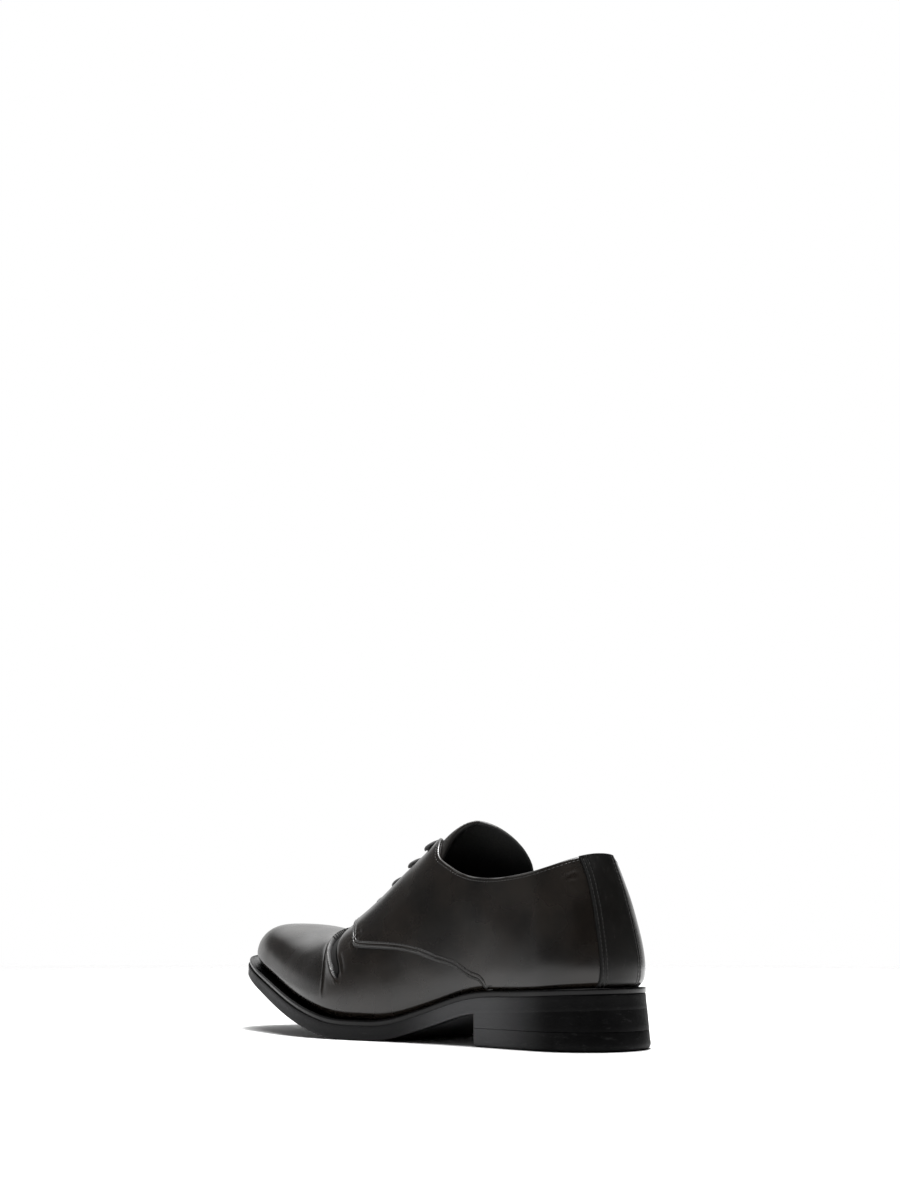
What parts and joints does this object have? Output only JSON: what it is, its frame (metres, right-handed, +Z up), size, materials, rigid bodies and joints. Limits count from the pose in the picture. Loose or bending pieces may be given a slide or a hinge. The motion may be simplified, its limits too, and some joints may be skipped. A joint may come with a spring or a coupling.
{
  "type": "derby shoe",
  "caption": "Left lace-up dress shoe with plain toe, open-laced facings over a tongue, welted sole with toe spring and a stacked heel.",
  "frame": {"origin": "on the floor, under the middle of the shoe's outline", "axes": "+X from the heel to the toe, +Y to the wearer's left, which is the outer side, +Z up"},
  "size_m": [0.3058, 0.1048, 0.117],
  "materials": {
    "upper": "polished, semi-gloss",
    "lining": "matt",
    "sole": "satin",
    "edge": "satin",
    "lace": "matt"
  },
  "bodies": {
    "root": {"outsole": "sole", "welt": "edge", "heel_stack": "sole", "top_lift": "edge", "insole": "lining", "upper": "upper", "tongue": "lining", "lace_bar_1": "lace", "lace_bar_2": "lace", "lace_bar_3": "lace", "lace_bar_4": "lace"}
  },
  "joints": []
}
